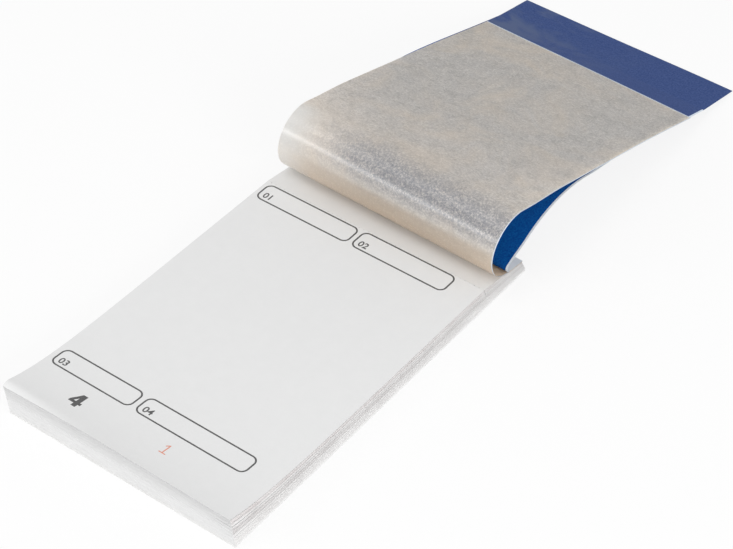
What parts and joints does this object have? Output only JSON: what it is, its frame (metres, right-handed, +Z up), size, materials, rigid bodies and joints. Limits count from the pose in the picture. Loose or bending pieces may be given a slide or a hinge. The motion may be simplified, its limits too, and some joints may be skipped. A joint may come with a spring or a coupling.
{
  "type": "order pad",
  "caption": "Stapled order pad with perforated tear-off slips, and a blue carbon sheet and a tissue guard sheet turned back over its head.",
  "frame": {"origin": "middle of the underside of the card back, on the table", "axes": "+Y from the foot of the pad to its stapled head, +X to the right of someone writing on it, +Z up from the table"},
  "size_m": [0.1032, 0.2975, 0.031],
  "materials": {
    "white_paper": "matt uncoated white paper",
    "white_card": "matt white card",
    "tissue": "thin translucent grey-beige tissue",
    "blue_carbon": "satin blue carbon coating on thin white paper",
    "steel_wire": "bright flat wire"
  },
  "bodies": {
    "pad": {"backing_board": "white_card", "carbon_sheet_stub": "blue_carbon", "guard_sheet_stub": "tissue", "leaf_01_stub": "white_paper", "leaf_02_stub": "white_paper", "leaf_03_stub": "white_paper", "leaf_04_stub": "white_paper", "leaf_05_stub": "white_paper", "leaf_06_stub": "white_paper", "leaf_07_stub": "white_paper", "leaf_08_stub": "white_paper", "leaf_09_stub": "white_paper", "leaf_10_stub": "white_paper", "leaf_11_stub": "white_paper", "leaf_12_stub": "white_paper", "leaf_bundle_1": "white_paper", "leaf_bundle_2": "white_paper", "leaf_bundle_3": "white_paper", "staple_left": "steel_wire", "staple_right": "steel_wire"},
    "carbon_sheet_flap": {"carbon_sheet_flap": "blue_carbon"},
    "carbon_sheet_strip_1": {"carbon_sheet_strip_1": "blue_carbon"},
    "carbon_sheet_strip_2": {"carbon_sheet_strip_2": "blue_carbon"},
    "carbon_sheet_strip_3": {"carbon_sheet_strip_3": "blue_carbon"},
    "carbon_sheet_strip_4": {"carbon_sheet_strip_4": "blue_carbon"},
    "carbon_sheet_strip_5": {"carbon_sheet_strip_5": "blue_carbon"},
    "carbon_sheet_strip_6": {"carbon_sheet_strip_6": "blue_carbon"},
    "carbon_sheet_strip_7": {"carbon_sheet_strip_7": "blue_carbon"},
    "carbon_sheet_strip_8": {"carbon_sheet_strip_8": "blue_carbon"},
    "carbon_sheet_strip_9": {"carbon_sheet_strip_9": "blue_carbon"},
    "carbon_sheet_tail": {"carbon_sheet_tail": "blue_carbon"},
    "guard_sheet_strip_1": {"guard_sheet_strip_1": "tissue"},
    "guard_sheet_strip_2": {"guard_sheet_strip_2": "tissue"},
    "guard_sheet_strip_3": {"guard_sheet_strip_3": "tissue"},
    "guard_sheet_strip_4": {"guard_sheet_strip_4": "tissue"},
    "guard_sheet_strip_5": {"guard_sheet_strip_5": "tissue"},
    "guard_sheet_strip_6": {"guard_sheet_strip_6": "tissue"},
    "guard_sheet_strip_7": {"guard_sheet_strip_7": "tissue"},
    "guard_sheet_strip_8": {"guard_sheet_strip_8": "tissue"},
    "guard_sheet_strip_9": {"guard_sheet_strip_9": "tissue"},
    "guard_sheet_strip_10": {"guard_sheet_strip_10": "tissue"},
    "guard_sheet_strip_11": {"guard_sheet_strip_11": "tissue"},
    "guard_sheet_flap": {"guard_sheet_flap": "tissue"},
    "leaf_01_slip": {"leaf_01_slip": "white_paper"},
    "leaf_02_slip": {"leaf_02_slip": "white_paper"},
    "leaf_03_slip": {"leaf_03_slip": "white_paper"},
    "leaf_04_slip": {"leaf_04_slip": "white_paper"},
    "leaf_05_slip": {"leaf_05_slip": "white_paper"},
    "leaf_06_slip": {"leaf_06_slip": "white_paper"},
    "leaf_07_slip": {"leaf_07_slip": "white_paper"},
    "leaf_08_slip": {"leaf_08_slip": "white_paper"},
    "leaf_09_slip": {"leaf_09_slip": "white_paper"},
    "leaf_10_slip": {"leaf_10_slip": "white_paper"},
    "leaf_11_slip": {"leaf_11_slip": "white_paper"},
    "leaf_12_slip": {"leaf_12_slip": "white_paper"}
  },
  "joints": [
    {"name": "sheets_turn", "type": "hinge", "parent": "pad", "child": "carbon_sheet_flap", "pos_m": [-0.00132, 0.06824, 0.01934], "axis": [0.9997, -0.0262, 0], "range_deg": [0, 190.27]},
    {"name": "carbon_sheet_strip_1_turn", "type": "hinge", "parent": "pad", "child": "carbon_sheet_strip_1", "pos_m": [-0.0012, 0.0728, 0.00507], "axis": [0.9997, -0.0262, 0], "range_deg": [0, 34.61]},
    {"name": "carbon_sheet_strip_2_turn", "type": "hinge", "parent": "pad", "child": "carbon_sheet_strip_2", "pos_m": [-0.00123, 0.07154, 0.00566], "axis": [0.9997, -0.0262, 0], "range_deg": [0, 103.8]},
    {"name": "carbon_sheet_strip_3_turn", "type": "hinge", "parent": "pad", "child": "carbon_sheet_strip_3", "pos_m": [-0.00125, 0.07101, 0.00629], "axis": [0.9997, -0.0262, 0], "range_deg": [0, 138.4]},
    {"name": "carbon_sheet_strip_4_turn", "type": "hinge", "parent": "pad", "child": "carbon_sheet_strip_4", "pos_m": [-0.00126, 0.07069, 0.00734], "axis": [0.9997, -0.0262, 0], "range_deg": [0, 147.2]},
    {"name": "carbon_sheet_strip_5_turn", "type": "hinge", "parent": "pad", "child": "carbon_sheet_strip_5", "pos_m": [-0.00127, 0.07031, 0.00865], "axis": [0.9997, -0.0262, 0], "range_deg": [0, 155.04]},
    {"name": "carbon_sheet_strip_6_turn", "type": "hinge", "parent": "pad", "child": "carbon_sheet_strip_6", "pos_m": [-0.00128, 0.06987, 0.01034], "axis": [0.9997, -0.0262, 0], "range_deg": [0, 162.87]},
    {"name": "carbon_sheet_strip_7_turn", "type": "hinge", "parent": "pad", "child": "carbon_sheet_strip_7", "pos_m": [-0.00129, 0.0694, 0.01239], "axis": [0.9997, -0.0262, 0], "range_deg": [0, 170.7]},
    {"name": "carbon_sheet_strip_8_turn", "type": "hinge", "parent": "pad", "child": "carbon_sheet_strip_8", "pos_m": [-0.0013, 0.06892, 0.01484], "axis": [0.9997, -0.0262, 0], "range_deg": [0, 178.53]},
    {"name": "carbon_sheet_strip_9_turn", "type": "hinge", "parent": "pad", "child": "carbon_sheet_strip_9", "pos_m": [-0.00131, 0.06846, 0.0177], "axis": [0.9997, -0.0262, 0], "range_deg": [0, 186.37]},
    {"name": "carbon_sheet_tail_turn", "type": "hinge", "parent": "carbon_sheet_flap", "child": "carbon_sheet_tail", "pos_m": [0.00538, 0.19331, 0.00347], "axis": [0.9997, -0.0262, 0], "range_deg": [-5, 0]},
    {"name": "guard_sheet_strip_1_turn", "type": "hinge", "parent": "pad", "child": "guard_sheet_strip_1", "pos_m": [-0.0012, 0.07254, 0.00473], "axis": [0.9997, -0.0262, 0], "range_deg": [0, 8.44]},
    {"name": "guard_sheet_strip_2_turn", "type": "hinge", "parent": "pad", "child": "guard_sheet_strip_2", "pos_m": [-0.00127, 0.07, 0.00526], "axis": [0.9997, -0.0262, 0], "range_deg": [0, 25.29]},
    {"name": "guard_sheet_strip_3_turn", "type": "hinge", "parent": "pad", "child": "guard_sheet_strip_3", "pos_m": [-0.00132, 0.06801, 0.00591], "axis": [0.9997, -0.0262, 0], "range_deg": [0, 42.14]},
    {"name": "guard_sheet_strip_4_turn", "type": "hinge", "parent": "pad", "child": "guard_sheet_strip_4", "pos_m": [-0.00137, 0.06611, 0.00675], "axis": [0.9997, -0.0262, 0], "range_deg": [0, 59]},
    {"name": "guard_sheet_strip_5_turn", "type": "hinge", "parent": "pad", "child": "guard_sheet_strip_5", "pos_m": [-0.00143, 0.06386, 0.00804], "axis": [0.9997, -0.0262, 0], "range_deg": [0, 80.73]},
    {"name": "guard_sheet_strip_6_turn", "type": "hinge", "parent": "pad", "child": "guard_sheet_strip_6", "pos_m": [-0.00147, 0.06216, 0.0092], "axis": [0.9997, -0.0262, 0], "range_deg": [0, 97.59]},
    {"name": "guard_sheet_strip_7_turn", "type": "hinge", "parent": "pad", "child": "guard_sheet_strip_7", "pos_m": [-0.00152, 0.06043, 0.01063], "axis": [0.9997, -0.0262, 0], "range_deg": [0, 114.44]},
    {"name": "guard_sheet_strip_8_turn", "type": "hinge", "parent": "pad", "child": "guard_sheet_strip_8", "pos_m": [-0.00156, 0.0587, 0.01235], "axis": [0.9997, -0.0262, 0], "range_deg": [0, 131.29]},
    {"name": "guard_sheet_strip_9_turn", "type": "hinge", "parent": "pad", "child": "guard_sheet_strip_9", "pos_m": [-0.00161, 0.05696, 0.0144], "axis": [0.9997, -0.0262, 0], "range_deg": [0, 148.15]},
    {"name": "guard_sheet_strip_10_turn", "type": "hinge", "parent": "pad", "child": "guard_sheet_strip_10", "pos_m": [-0.00165, 0.05523, 0.01683], "axis": [0.9997, -0.0262, 0], "range_deg": [0, 165]},
    {"name": "guard_sheet_strip_11_turn", "type": "hinge", "parent": "pad", "child": "guard_sheet_strip_11", "pos_m": [-0.0017, 0.05353, 0.01975], "axis": [0.9997, -0.0262, 0], "range_deg": [0, 181.85]},
    {"name": "guard_sheet_flap_turn", "type": "hinge", "parent": "pad", "child": "guard_sheet_flap", "pos_m": [-0.00172, 0.05269, 0.02148], "axis": [0.9997, -0.0262, 0], "range_deg": [0, 190.28]},
    {"name": "leaf_01_tear_off", "type": "slide", "parent": "pad", "child": "leaf_01_slip", "axis": [1, 0, 0], "range_m": [0, 0.1]},
    {"name": "leaf_02_tear_off", "type": "slide", "parent": "pad", "child": "leaf_02_slip", "axis": [1, 0, 0], "range_m": [0, 0.1]},
    {"name": "leaf_03_tear_off", "type": "slide", "parent": "pad", "child": "leaf_03_slip", "axis": [1, 0, 0], "range_m": [0, 0.1]},
    {"name": "leaf_04_tear_off", "type": "slide", "parent": "pad", "child": "leaf_04_slip", "axis": [1, 0, 0], "range_m": [0, 0.1]},
    {"name": "leaf_05_tear_off", "type": "slide", "parent": "pad", "child": "leaf_05_slip", "axis": [1, 0, 0], "range_m": [0, 0.1]},
    {"name": "leaf_06_tear_off", "type": "slide", "parent": "pad", "child": "leaf_06_slip", "axis": [1, 0, 0], "range_m": [0, 0.1]},
    {"name": "leaf_07_tear_off", "type": "slide", "parent": "pad", "child": "leaf_07_slip", "axis": [1, 0, 0], "range_m": [0, 0.1]},
    {"name": "leaf_08_tear_off", "type": "slide", "parent": "pad", "child": "leaf_08_slip", "axis": [1, 0, 0], "range_m": [0, 0.1]},
    {"name": "leaf_09_tear_off", "type": "slide", "parent": "pad", "child": "leaf_09_slip", "axis": [1, 0, 0], "range_m": [0, 0.1]},
    {"name": "leaf_10_tear_off", "type": "slide", "parent": "pad", "child": "leaf_10_slip", "axis": [1, 0, 0], "range_m": [0, 0.1]},
    {"name": "leaf_11_tear_off", "type": "slide", "parent": "pad", "child": "leaf_11_slip", "axis": [1, 0, 0], "range_m": [0, 0.1]},
    {"name": "leaf_12_tear_off", "type": "slide", "parent": "pad", "child": "leaf_12_slip", "axis": [1, 0, 0], "range_m": [0, 0.1]}
  ],
  "couplings": [
    {"joint": "carbon_sheet_strip_1_turn", "follows": "sheets_turn", "ratio": 0.18184},
    {"joint": "carbon_sheet_strip_2_turn", "follows": "sheets_turn", "ratio": 0.54551},
    {"joint": "carbon_sheet_strip_3_turn", "follows": "sheets_turn", "ratio": 0.72735},
    {"joint": "carbon_sheet_strip_4_turn", "follows": "sheets_turn", "ratio": 0.7736},
    {"joint": "carbon_sheet_strip_5_turn", "follows": "sheets_turn", "ratio": 0.81476},
    {"joint": "carbon_sheet_strip_6_turn", "follows": "sheets_turn", "ratio": 0.85593},
    {"joint": "carbon_sheet_strip_7_turn", "follows": "sheets_turn", "ratio": 0.89709},
    {"joint": "carbon_sheet_strip_8_turn", "follows": "sheets_turn", "ratio": 0.93825},
    {"joint": "carbon_sheet_strip_9_turn", "follows": "sheets_turn", "ratio": 0.97942},
    {"joint": "carbon_sheet_tail_turn", "follows": "sheets_turn", "ratio": -0.026248},
    {"joint": "guard_sheet_strip_1_turn", "follows": "sheets_turn", "ratio": 0.044288},
    {"joint": "guard_sheet_strip_2_turn", "follows": "sheets_turn", "ratio": 0.13286},
    {"joint": "guard_sheet_strip_3_turn", "follows": "sheets_turn", "ratio": 0.22144},
    {"joint": "guard_sheet_strip_4_turn", "follows": "sheets_turn", "ratio": 0.31001},
    {"joint": "guard_sheet_strip_5_turn", "follows": "sheets_turn", "ratio": 0.42426},
    {"joint": "guard_sheet_strip_6_turn", "follows": "sheets_turn", "ratio": 0.51283},
    {"joint": "guard_sheet_strip_7_turn", "follows": "sheets_turn", "ratio": 0.60141},
    {"joint": "guard_sheet_strip_8_turn", "follows": "sheets_turn", "ratio": 0.68999},
    {"joint": "guard_sheet_strip_9_turn", "follows": "sheets_turn", "ratio": 0.77856},
    {"joint": "guard_sheet_strip_10_turn", "follows": "sheets_turn", "ratio": 0.86714},
    {"joint": "guard_sheet_strip_11_turn", "follows": "sheets_turn", "ratio": 0.95571},
    {"joint": "guard_sheet_flap_turn", "follows": "sheets_turn", "ratio": 1}
  ]
}
